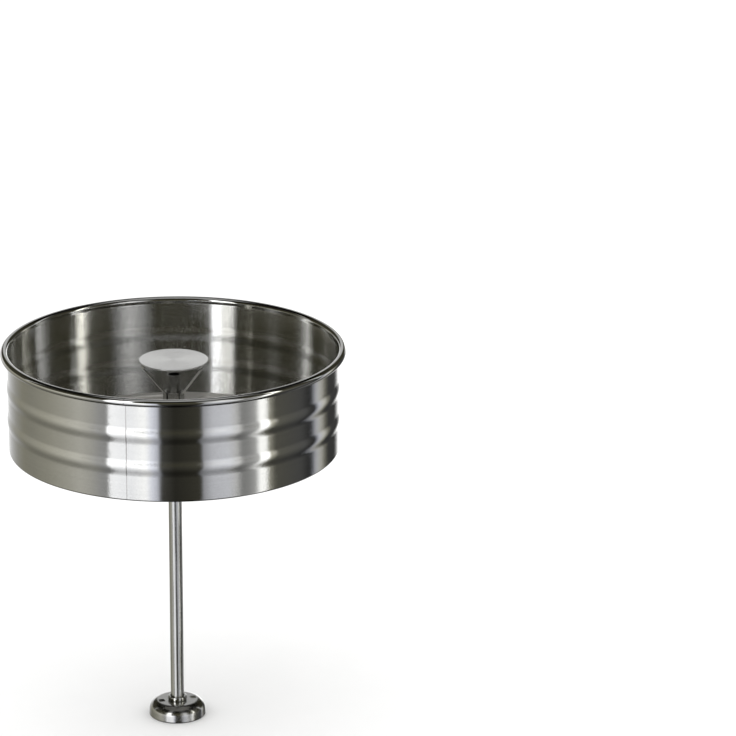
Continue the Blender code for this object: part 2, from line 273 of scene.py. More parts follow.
class Piece:
    """One mesh on the bench, with its place in its vertices."""

    def __init__(self, thing: bpy.types.Object) -> None:
        """Take an object in hand.

        Args:
            thing: A mesh object at the origin.
        """
        self.thing = thing

    @classmethod
    def fresh(cls, name: str) -> "Piece":
        """Take the primitive just added as a new piece.

        Args:
            name: Name of the new piece.

        Returns:
            The piece.
        """
        thing = bpy.context.object
        thing.name = name
        thing.data.name = name
        return cls(thing)

    def activate(self) -> None:
        """Make this the only selected object, and the active one."""
        clear_selection()
        self.thing.select_set(True)
        bpy.context.view_layer.objects.active = self.thing

    @contextmanager
    def editing(self, mode: SelectBy = SelectBy.VERTEX) -> Iterator[None]:
        """Stay in edit mode for a while, with everything selected at first.

        Args:
            mode: What selections are made of.

        Yields:
            Nothing.
        """
        self.activate()
        bpy.ops.object.mode_set(mode="EDIT")
        bpy.ops.mesh.select_mode(type=mode.value)
        bpy.ops.mesh.select_all(action="SELECT")
        yield
        bpy.ops.object.mode_set(mode="OBJECT")

    def select(self, mode: SelectBy, wanted: Callable[[Any], bool]) -> None:
        """Select some of the mesh in edit mode.

        Args:
            mode: What to go through: vertices, edges or faces.
            wanted: Test that says which of them to select.
        """
        bpy.ops.mesh.select_mode(type=mode.value)
        bpy.ops.mesh.select_all(action="DESELECT")
        shape = bmesh.from_edit_mesh(self.thing.data)
        parts = {SelectBy.VERTEX: shape.verts, SelectBy.EDGE: shape.edges, SelectBy.FACE: shape.faces}
        chosen = [part for part in parts[mode] if wanted(part)]
        for part in chosen:
            part.select_set(True)
        shape.select_flush_mode()
        bmesh.update_edit_mesh(self.thing.data)

    def modify(self, kind: str, **settings: Any) -> None:
        """Add a modifier and apply it.

        Args:
            kind: Blender's name for the modifier.
            **settings: Its settings.
        """
        self.activate()
        modifier = self.thing.modifiers.new(kind.lower(), kind)
        for key, value in settings.items():
            setattr(modifier, key, value)
        bpy.ops.object.modifier_apply(modifier=modifier.name)

    def combine(self, tool: "Piece", operation: str) -> None:
        """Join or cut this piece with a tool, which is used up.

        Args:
            tool: The other closed shape.
            operation: UNION or DIFFERENCE.
        """
        self.modify("BOOLEAN", operation=operation, solver="MANIFOLD", object=tool.thing)
        bpy.data.objects.remove(tool.thing, do_unlink=True)

    def turn(self, angle_deg: float) -> "Piece":
        """Turn the mesh about the axis and keep its object unturned.

        Args:
            angle_deg: How far it is turned, anticlockwise from above.

        Returns:
            The piece itself.
        """
        self.activate()
        self.thing.rotation_euler.z = math.radians(angle_deg)
        bpy.ops.object.transform_apply(location=False, rotation=True, scale=False)
        return self

    def copy(self, name: str) -> "Piece":
        """Copy the piece with a mesh of its own.

        Args:
            name: Name of the copy.

        Returns:
            The copy.
        """
        twin = self.thing.copy()
        twin.data = self.thing.data.copy()
        twin.name = name
        twin.data.name = name
        bpy.context.scene.collection.objects.link(twin)
        return Piece(twin)

    def ring_of(self, count: int, start_deg: float) -> "Piece":
        """Stand copies of the piece round the axis and join them to it.

        Args:
            count: How many there are in all.
            start_deg: Where the first one goes.

        Returns:
            The piece itself, with all the copies in it.
        """
        copies = [
            self.copy(f"{self.thing.name}_{i}").turn(start_deg + 360.0 * i / count)
            for i in range(1, count)
        ]
        self.turn(start_deg)
        self.activate()
        for twin in copies:
            twin.thing.select_set(True)
        bpy.ops.object.join()
        return self

    def clean(self) -> None:
        """Merge what lies together and face everything outwards."""
        with self.editing():
            bpy.ops.mesh.remove_doubles(threshold=MERGE_DISTANCE)
            bpy.ops.mesh.select_all(action="SELECT")
            bpy.ops.mesh.normals_make_consistent(inside=False)

    def shade(self, angle_deg: float = 34.0) -> "Piece":
        """Shade bends smooth and keep flats flat.

        Args:
            angle_deg: Edges sharper than this stay sharp.

        Returns:
            The piece itself.
        """
        self.activate()
        bpy.ops.object.shade_smooth_by_angle(angle=math.radians(angle_deg))
        self.modify("WEIGHTED_NORMAL", keep_sharp=True, weight=70)
        return self

    def fit(self, body: Body, slot: Slot, node: str, finish: "Finish") -> None:
        """Dress the piece and put it in its CAD node's place.

        Args:
            body: What it moves with.
            slot: The record's slot for its finish; not used.
            node: The CAD node that it stands for.
            finish: Its finish.
        """
        self.thing.data.materials.clear()
        self.thing.data.materials.append(finish.material(self.thing.name))
        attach(self.thing, body.value)
        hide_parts(node)
        LOG.info("%s: %d faces, on %s", self.thing.name, len(self.thing.data.polygons), body.value)


def thread(name: str, points: Sequence[Vector], closed: bool = True) -> Piece:
    """Draw a line of edges by extruding one vertex.

    Args:
        name: Name of the new piece.
        points: Where the line goes.
        closed: Whether its end is joined to its start.

    Returns:
        The new piece.
    """
    clear_selection()
    bpy.ops.mesh.primitive_plane_add(size=MM, location=(0.0, 0.0, 0.0))
    piece = Piece.fresh(name)
    with piece.editing():
        bpy.ops.mesh.merge(type="CENTER")
        bpy.ops.transform.translate(value=points[0])
        for here, there in pairwise(points):
            bpy.ops.mesh.extrude_region_move(TRANSFORM_OT_translate={"value": there - here})
        if closed:
            ends = (0, len(points) - 1)
            piece.select(SelectBy.VERTEX, lambda vertex: vertex.index in ends)
            bpy.ops.mesh.edge_face_add()
    return piece


def turned(name: str, outline: Sequence[Vector], segments: int, closed: bool = True) -> Piece:
    """Spin an outline once round the axis.

    Args:
        name: Name of the new piece.
        outline: Points as radius and height.
        segments: How many faces go round.
        closed: False if the outline starts and ends on the axis or stays open.

    Returns:
        The new piece, shaded.
    """
    piece = thread(name, [Vector((point.x, 0.0, point.y)) for point in outline], closed)
    with piece.editing():
        bpy.ops.mesh.spin(
            steps=segments,
            angle=math.tau,
            center=(0.0, 0.0, 0.0),
            axis=(0.0, 0.0, 1.0),
            use_auto_merge=True,
        )
    piece.clean()
    return piece.shade()


def slab(name: str, points: Sequence[Vector], rise: Vector) -> Piece:
    """Fill a closed line and extrude it.

    Args:
        name: Name of the new piece.
        points: The line's points, all in one plane.
        rise: How far and which way it is extruded.

    Returns:
        The new closed piece.
    """
    piece = thread(name, points)
    with piece.editing():
        bpy.ops.mesh.edge_face_add()
        bpy.ops.mesh.extrude_region_move(TRANSFORM_OT_translate={"value": rise})
    piece.clean()
    return piece


# ---------------------------------------------------------------------------------------
# Shader work
# ---------------------------------------------------------------------------------------


class Signal:
    """A number in a material. Arithmetic on it adds Math nodes."""

    def __init__(self, desk: "ShaderDesk", socket: bpy.types.NodeSocket) -> None:
        """Wrap a socket.

        Args:
            desk: The material's desk.
            socket: The output that carries the number.
        """
        self.desk = desk
        self.socket = socket

    def _math(self, operation: str, *values: "Signal | float") -> "Signal":
        """Run values through one Math node."""
        node = self.desk.node("ShaderNodeMath", {"operation": operation}, dict(enumerate(values)))
        return Signal(self.desk, node.outputs[0])

    def __add__(self, other: "Signal | float") -> "Signal":
        """Give self + other."""
        return self._math("ADD", self, other)

    __radd__ = __add__

    def __sub__(self, other: "Signal | float") -> "Signal":
        """Give self - other."""
        return self._math("SUBTRACT", self, other)

    def __rsub__(self, other: float) -> "Signal":
        """Give other - self."""
        return self._math("SUBTRACT", other, self)

    def __mul__(self, other: "Signal | float") -> "Signal":
        """Give self * other."""
        return self._math("MULTIPLY", self, other)

    __rmul__ = __mul__

    def __abs__(self) -> "Signal":
        """Give the size of self without its sign."""
        return self._math("ABSOLUTE", self)

    def __pow__(self, other: float) -> "Signal":
        """Give self to a power."""
        return self._math("POWER", self, other)

    def angle_from(self, other: "Signal") -> "Signal":
        """Give the angle whose tangent is self over other."""
        return self._math("ARCTAN2", self, other)

    def above(self, low: float, high: float) -> "Signal":
        """Rise softly from 0 to 1 between two values.

        Args:
            low: Where the rise starts.
            high: Where it ends.

        Returns:
            The mask.
        """
        node = self.desk.node(
            "ShaderNodeMapRange",
            {"interpolation_type": "SMOOTHSTEP"},
            {"Value": self, "From Min": low, "From Max": high},
        )
        return Signal(self.desk, node.outputs["Result"])


class ShaderDesk:
    """Where one material's nodes are laid out."""

    def __init__(self, name: str) -> None:
        """Start an empty material.

        Args:
            name: The material's name.
        """
        self.material = bpy.data.materials.new(name)
        self.material.use_nodes = True
        self.tree = self.material.node_tree
        self.tree.nodes.clear()

    def node(self, kind: str, settings: dict[str, Any], inputs: dict[Any, Any]) -> bpy.types.Node:
        """Add a node.

        Args:
            kind: Blender's type name.
            settings: Its settings, set first. A ramp's stops go under "stops".
            inputs: Values, signals or sockets for its inputs, by name or number.

        Returns:
            The node.
        """
        made = self.tree.nodes.new(kind)
        for key, value in settings.items():
            if key == "stops":
                self._set_stops(made.color_ramp, value)
            else:
                setattr(made, key, value)
        for key, value in inputs.items():
            if isinstance(value, Signal):
                self.tree.links.new(value.socket, made.inputs[key])
            elif isinstance(value, bpy.types.NodeSocket):
                self.tree.links.new(value, made.inputs[key])
            else:
                made.inputs[key].default_value = value
        return made

    @staticmethod
    def _set_stops(ramp: bpy.types.ColorRamp, stops: Sequence[tuple[float, tuple[float, ...]]]) -> None:
        """Set a ramp's stops.

        Args:
            ramp: The ramp.
            stops: Pairs of place and colour, in order.
        """
        while len(ramp.elements) > 1:
            ramp.elements.remove(ramp.elements[-1])
        ramp.elements[0].position = stops[0][0]
        ramp.elements[0].color = (*stops[0][1], 1.0)
        for place, colour in stops[1:]:
            ramp.elements.new(place).color = (*colour, 1.0)

    def place(self) -> bpy.types.NodeSocket:
        """Give the place on the piece, in the row frame."""
        return self.node("ShaderNodeTexCoord", {}, {}).outputs["Object"]

    def axes(self) -> tuple[Signal, Signal, Signal]:
        """Give the three coordinates of the place on the piece."""
        split = self.node("ShaderNodeSeparateXYZ", {}, {"Vector": self.place()})
        return tuple(Signal(self, split.outputs[i]) for i in range(3))

    def radius(self) -> Signal:
        """Give the distance from the axis."""
        x, y, _ = self.axes()
        return (x * x + y * y) ** 0.5

    def grain(self, scale: tuple[float, float, float], detail: float = 2.0) -> Signal:
        """Noise drawn out along the axes.

        Args:
            scale: Marks per metre along X, Y and Z.
            detail: How many finer layers it has.

        Returns:
            A number about one half.
        """
        drawn = self.node("ShaderNodeVectorMath", {"operation": "MULTIPLY"}, {0: self.place(), 1: scale})
        noise = self.node(
            "ShaderNodeTexNoise", {}, {"Vector": drawn.outputs[0], "Scale": 1.0, "Detail": detail}
        )
        return Signal(self, noise.outputs["Fac"])

    def rings(self, per_metre: float, detail: float = 2.0) -> Signal:
        """Noise that changes only with the distance from the axis.

        Args:
            per_metre: Rings per metre.
            detail: How many finer layers it has.

        Returns:
            A number about one half.
        """
        noise = self.node(
            "ShaderNodeTexNoise",
            {"noise_dimensions": "1D"},
            {"W": self.radius() * per_metre, "Scale": 1.0, "Detail": detail},
        )
        return Signal(self, noise.outputs["Fac"])

    def vector(self, operation: str, *values: Any) -> bpy.types.NodeSocket:
        """Run vectors through one Vector Math node.

        Args:
            operation: Blender's name for the operation.
            *values: Vectors or sockets, and the factor last for SCALE.

        Returns:
            The resulting vector.
        """
        inputs: dict[Any, Any] = dict(enumerate(values))
        if operation == "SCALE":
            inputs = {0: values[0], "Scale": values[1]}
        return self.node("ShaderNodeVectorMath", {"operation": operation}, inputs).outputs[0]

    def faces_axis(self) -> Signal:
        """Tell the inside of a round piece from its outside.

        Returns:
            1 where the surface faces the axis and 0 where it faces away.
        """
        normal = self.node("ShaderNodeNewGeometry", {}, {}).outputs["Normal"]
        inward = self.vector("NORMALIZE", self.vector("MULTIPLY", self.place(), (-1.0, -1.0, 0.0)))
        dot = self.node("ShaderNodeVectorMath", {"operation": "DOT_PRODUCT"}, {0: normal, 1: inward})
        return Signal(self, dot.outputs["Value"]).above(-0.1, 0.1)

    def grooved(self, groove: Signal, depth: float, grain: Grain) -> bpy.types.NodeSocket:
        """Tilt the surface towards the flanks of grooves too fine to see one by one.

        Args:
            groove: Where in a groove a point lies, about one half.
            depth: How steep the flanks are.
            grain: Which way the grooves run.

        Returns:
            The tilted normal.
        """
        normal = self.node("ShaderNodeNewGeometry", {}, {}).outputs["Normal"]
        way_round = self.vector("NORMALIZE", self.vector("CROSS_PRODUCT", (0.0, 0.0, 1.0), self.place()))
        flank = self.vector("CROSS_PRODUCT", way_round, normal) if grain is Grain.ROUND else way_round
        tilt = self.vector("SCALE", flank, (groove - 0.5) * depth)
        return self.vector("NORMALIZE", self.vector("ADD", normal, tilt))

    def blend(self, share: Signal, plain: Any, other: Any) -> bpy.types.NodeSocket:
        """Mix two colours.

        Args:
            share: How much of the other colour there is.
            plain: The colour at 0.
            other: The colour at 1.

        Returns:
            The mixed colour.
        """
        mixed = self.node("ShaderNodeMix", {"data_type": "RGBA"}, {"Factor": share})
        for name, colour in (("A", plain), ("B", other)):
            socket = next(s for s in mixed.inputs if s.name == name and s.type == "RGBA")
            if isinstance(colour, bpy.types.NodeSocket):
                self.tree.links.new(colour, socket)
            else:
                socket.default_value = (*colour, 1.0)
        return next(s for s in mixed.outputs if s.type == "RGBA")

    def output(self, surface: bpy.types.Node) -> bpy.types.Material:
        """Send a shader to the material's surface and hand the material over."""
        self.node("ShaderNodeOutputMaterial", {}, {"Surface": surface.outputs[0]})
        return self.material


@dataclass(frozen=True)
class Coat:
    """What changes over a finish: its colour, roughness, height and fine grooves."""

    colour: bpy.types.NodeSocket
    roughness: Signal
    height: Signal
    groove: Signal | None = None


@dataclass(frozen=True)
class Finish:
    """A steel finish: two tones that the surface wanders between, and its gloss."""

    light: tuple[float, float, float] = (0.70, 0.70, 0.68)
    dark: tuple[float, float, float] = (0.58, 0.58, 0.56)
    roughness: float = 0.2
    anisotropy: float = 0.0
    grain: Grain = Grain.ROUND
    relief: float = 0.01 * MM
    flank: float = 0.0
    metallic: float = 1.0

    def coat(self, desk: ShaderDesk) -> Coat:
        """Lay out what changes over the surface.

        Args:
            desk: The material's desk.

        Returns:
            The coat.
        """
        raise NotImplementedError

    def facing(self, desk: ShaderDesk, coat: Coat) -> bpy.types.NodeSocket:
        """Work out the way the surface faces, relief and groove flanks included.

        Args:
            desk: The material's desk.
            coat: What changes over the surface.

        Returns:
            The normal.
        """
        relief = {"Strength": 1.0, "Distance": self.relief, "Height": coat.height}
        if coat.groove is not None:
            relief["Normal"] = desk.grooved(coat.groove, self.flank, self.grain)
        return desk.node("ShaderNodeBump", {}, relief).outputs[0]

    def material(self, name: str) -> bpy.types.Material:
        """Make the finish's material for one piece.

        Args:
            name: The piece's name.

        Returns:
            The material.
        """
        desk = ShaderDesk(f"{name}_steel")
        coat = self.coat(desk)
        steel = desk.node(
            "ShaderNodeBsdfPrincipled",
            {},
            {
                "Base Color": coat.colour,
                "Metallic": self.metallic,
                "Roughness": coat.roughness,
                "Anisotropic": self.anisotropy,
                "Anisotropic Rotation": self.grain.value,
                "Normal": self.facing(desk, coat),
            },
        )
        return desk.output(steel)


@dataclass(frozen=True)
class BrushedBand(Finish):
    """Wall sheet ground round the basket, with a burnished rim and a heat-tinted seam."""

    roughness: float = 0.10
    anisotropy: float = 0.9
    flank: float = 0.5
    inside_spread: float = 3.6
    inside_lean: float = 0.86
    rim_start: float = 0.0
    rim_fade: float = 1.2 * MM
    seam_bearing_deg: float = 0.0
    seam_tint: tuple[float, float, float] = (0.24, 0.23, 0.22)
    tint_share: float = 0.45
    tint_core: float = 0.15 * MM
    tint_width: float = 0.55 * MM
    front_fade: float = 10.0 * MM

    def coat(self, desk: ShaderDesk) -> Coat:
        """Lay out hairlines, handling marks, the rim's burnish and the seam's tint.

        Args:
            desk: The material's desk.

        Returns:
            The coat.
        """
        x, y, z = desk.axes()
        hairline = desk.grain((1500.0, 1500.0, 21000.0), 1.0)
        streak = desk.grain((9.0, 9.0, 820.0), 3.0)
        cloud = desk.grain((24.0, 24.0, 30.0), 3.0)
        smudge = desk.grain((60.0, 60.0, 95.0), 2.0).above(0.52, 0.70)
        rim = z.above(self.rim_start, self.rim_start + self.rim_fade)
        along, across = heading(self.seam_bearing_deg), heading(self.seam_bearing_deg + 90.0)
        beside = abs(x * across.x + y * across.y)
        in_front = (x * along.x + y * along.y).above(0.0, self.front_fade)
        tint = (1.0 - beside.above(self.tint_core, self.tint_width)) * in_front
        tone = (streak - 0.5) * 0.5 + (cloud - 0.5) * 0.9 + 0.5
        colour = desk.blend(tone, self.dark, self.light)
        colour = desk.blend(tint * self.tint_share, colour, self.seam_tint)
        rough = (streak - 0.5) * 0.05 + (cloud - 0.5) * 0.05 + self.roughness
        rough = rough + smudge * 0.03 - rim * 0.05 + tint * 0.06
        inside = desk.faces_axis()
        spread = (hairline - 0.5) * (inside * self.inside_spread + 1.0) + inside * self.inside_lean
        return Coat(colour, rough, streak * 0.2, spread * (1.0 - rim * 0.9) + 0.5)


@dataclass(frozen=True)
class SatinSieve(Finish):
    """Perforated sheet, rolled and pickled, with dull marks left by water."""

    light: tuple[float, float, float] = (0.80, 0.78, 0.74)
    dark: tuple[float, float, float] = (0.66, 0.64, 0.60)
    roughness: float = 0.36
    relief: float = 0.02 * MM
    metallic: float = 0.86

    def coat(self, desk: ShaderDesk) -> Coat:
        """Lay out rolling lines, mottling and water marks.

        Args:
            desk: The material's desk.

        Returns:
            The coat.
        """
        rolled = desk.grain((26.0, 1500.0, 26.0), 2.0)
        mottle = desk.grain((70.0, 70.0, 70.0), 4.0)
        cloud = desk.grain((16.0, 16.0, 16.0), 2.0)
        mark = desk.grain((38.0, 44.0, 40.0), 1.0)
        ring = 1.0 - abs(mark - 0.56).above(0.004, 0.022)
        tone = (mottle - 0.5) * 0.7 + (cloud - 0.5) * 0.8 + (rolled - 0.5) * 0.25 + 0.55
        colour = desk.blend(tone, self.dark, self.light)
        colour = desk.blend(ring * 0.12, colour, self.dark)
        rough = (mottle - 0.5) * 0.12 + (rolled - 0.5) * 0.05 + ring * 0.05 + self.roughness
        return Coat(colour, rough, rolled * 0.2 + mottle * 0.25)


@dataclass(frozen=True)
class SpunDisc(Finish):
    """Disc faced on a lathe, so that its gloss fans out from the centre."""

    light: tuple[float, float, float] = (0.84, 0.84, 0.82)
    dark: tuple[float, float, float] = (0.72, 0.72, 0.71)
    roughness: float = 0.24
    anisotropy: float = 0.8
    flank: float = 0.5
    metallic: float = 0.78

    def coat(self, desk: ShaderDesk) -> Coat:
        """Lay out turning rings and a few handling marks.

        Args:
            desk: The material's desk.

        Returns:
            The coat.
        """
        fine = desk.rings(21000.0, 1.0)
        broad = desk.rings(700.0, 3.0)
        cloud = desk.grain((90.0, 90.0, 90.0), 3.0)
        tone = (broad - 0.5) * 0.8 + (cloud - 0.5) * 0.5 + 0.5
        rough = (broad - 0.5) * 0.08 + (cloud - 0.5) * 0.06 + self.roughness
        return Coat(desk.blend(tone, self.dark, self.light), rough, broad * 0.15, fine)


@dataclass(frozen=True)
class DrawnTube(Finish):
    """Tube drawn through a die, with long fine marks down its length."""

    roughness: float = 0.20
    anisotropy: float = 0.4
    grain: Grain = Grain.LENGTHWISE
    flank: float = 0.5

    def coat(self, desk: ShaderDesk) -> Coat:
        """Lay out die lines and dull patches.

        Args:
            desk: The material's desk.

        Returns:
            The coat.
        """
        line = desk.grain((3600.0, 3600.0, 18.0), 2.0)
        patch = desk.grain((90.0, 90.0, 35.0), 3.0)
        tone = (line - 0.5) * 0.35 + (patch - 0.5) * 0.8 + 0.5
        rough = (line - 0.5) * 0.05 + (patch - 0.5) * 0.10 + self.roughness
        return Coat(desk.blend(tone, self.dark, self.light), rough, patch * 0.1, line)


@dataclass(frozen=True)
class PolishedPressing(Finish):
    """Small pressing, tumbled bright and a little smudged."""

    def coat(self, desk: ShaderDesk) -> Coat:
        """Lay out smudges and faint press marks.

        Args:
            desk: The material's desk.

        Returns:
            The coat.
        """
        smudge = desk.grain((160.0, 160.0, 160.0), 4.0)
        draw_mark = desk.rings(900.0, 2.0)
        tone = (smudge - 0.5) * 0.9 + (draw_mark - 0.5) * 0.3 + 0.5
        rough = smudge.above(0.42, 0.72) * 0.10 + (draw_mark - 0.5) * 0.03 + self.roughness
        return Coat(desk.blend(tone, self.dark, self.light), rough, draw_mark * 0.1 + smudge * 0.15)


@dataclass(frozen=True)
class RolledStrip(Finish):
    """Bright rolled strip with straight mill lines."""

    roughness: float = 0.18

    def coat(self, desk: ShaderDesk) -> Coat:
        """Lay out mill lines and dull patches.

        Args:
            desk: The material's desk.

        Returns:
            The coat.
        """
        line = desk.grain((900.0, 900.0, 60.0), 2.0)
        patch = desk.grain((140.0, 140.0, 140.0), 3.0)
        tone = (line - 0.5) * 0.3 + (patch - 0.5) * 0.7 + 0.5
        rough = (patch - 0.5) * 0.12 + self.roughness
        return Coat(desk.blend(tone, self.dark, self.light), rough, line * 0.15)


# ---------------------------------------------------------------------------------------
# The basket
# ---------------------------------------------------------------------------------------


@dataclass
class BasketWall:
    """The welded band: inner lip, two raised ribs and a rim rolled to the outside."""

    sheet: float = 0.5 * MM
    ease: float = 0.1 * MM
    lip_width: float = 2.6 * MM
    base_bend: float = 0.9 * MM
    roll_diameter: float = 4.7 * MM
    roll_end_deg: float = -120.0
    roll_step_deg: float = 9.0
    rib_count: int = 2
    rib_width: float = 10.6 * MM
    rib_depth: float = 0.65 * MM
    rib_raise: float = 0.7 * MM
    rib_steps: int = 22
    seam_bearing_deg: float = -106.4
    seam_step: float = 0.3 * MM
    seam_depth: float = 0.10 * MM
    seam_reach: float = 6.0 * MM
    seam_start: float = 2.0 * MM
    segments: int = 288

    def __post_init__(self) -> None:
        """Take the wall's place from its node."""
        low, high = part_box("basket_wall")
        self.bottom, self.top = low.z, high.z
        self.middle = high.x - self.roll_diameter + self.sheet / 2
        self.straight = self.top - self.bottom - self.roll_diameter

    def rib(self, number: int) -> list[Station]:
        """Lay stations over one raised rib.

        Args:
            number: Which rib, from 1 at the bottom.

        Returns:
            Its stations from bottom to top.
        """
        centre = self.bottom + self.straight * number / (self.rib_count + 1) + self.rib_raise
        stations = []
        for i in range(self.rib_steps + 1):
            phase = math.tau * (i / self.rib_steps - 0.5)
            bulge = self.rib_depth / 2 * (1 + math.cos(phase))
            slope = self.rib_depth / 2 * math.sin(phase) * math.tau / self.rib_width
            point = Vector((self.middle + bulge, centre + phase / math.tau * self.rib_width))
            stations.append((point, math.degrees(math.atan(slope))))
        return stations

    def stations(self) -> list[Station]:
        """Lay stations from the lip's inner edge up to the end of the rolled rim.

        Returns:
            The wall's stations, from bottom to top.
        """
        half = self.sheet / 2
        corner = Vector((self.middle - self.base_bend, self.bottom + half + self.base_bend))
        stations = [(Vector((corner.x - self.lip_width, self.bottom + half)), -90.0)]
        stations += bend(corner, self.base_bend, arc_angles(-90.0, 0.0, BEND_STEP_DEG))
        for number in range(1, self.rib_count + 1):
            stations += self.rib(number)
        roll = (self.roll_diameter - self.sheet) / 2
        centre = Vector((self.middle + roll, self.top - self.roll_diameter / 2))
        return stations + bend(centre, roll, arc_angles(180.0, self.roll_end_deg, self.roll_step_deg), 180.0)

    def sink_seam(self, piece: Piece) -> None:
        """Cut fine strips beside the weld and sink its middle on both sides of the sheet.

        Args:
            piece: The turned wall.
        """
        along = heading(self.seam_bearing_deg).to_3d()
        across = heading(self.seam_bearing_deg + 90.0).to_3d()

        def beside_seam(part: bmesh.types.BMFace) -> bool:
            """Tell whether a face lies within reach of the seam."""
            centre = part.calc_center_median()
            return centre.dot(along) > 0 and abs(centre.dot(across)) < self.seam_reach

        def on_seam(side: int) -> Callable[[Any], bool]:
            """Make a test for the seam's own line on one side of the sheet.

            Args:
                side: 1 for the outside and -1 for the inside.

            Returns:
                The test.
            """

            def wanted(vertex: bmesh.types.BMVert) -> bool:
                """Tell whether a vertex is on the line.

                Args:
                    vertex: The vertex in question.

                Returns:
                    True between the lip and the rim, on the side asked for.
                """
                place = vertex.co
                inside = self.bottom + self.seam_start < place.z < self.top - self.roll_diameter
                on_line = abs(place.dot(across)) < MERGE_DISTANCE and place.dot(along) > 0
                return inside and on_line and vertex.normal.dot(along) * side > 0

            return wanted

        with piece.editing(SelectBy.FACE):
            for step in (-2, -1, 0, 1, 2):
                piece.select(SelectBy.FACE, beside_seam)
                bpy.ops.mesh.bisect(plane_co=across * step * self.seam_step, plane_no=across)
            for side in (1, -1):
                piece.select(SelectBy.VERTEX, on_seam(side))
                bpy.ops.transform.translate(value=along * -side * self.seam_depth)

    def build(self) -> None:
        """Turn the wall, sink its seam and fit it."""
        outline = sheet_outline(self.stations(), self.sheet, self.ease)
        wall = turned("wall_band", outline, self.segments)
        self.sink_seam(wall)
        finish = BrushedBand(
            rim_start=self.top - self.roll_diameter, seam_bearing_deg=self.seam_bearing_deg
        )
        wall.shade().fit(Body.BASKET, Slot.WALL, "basket_wall", finish)


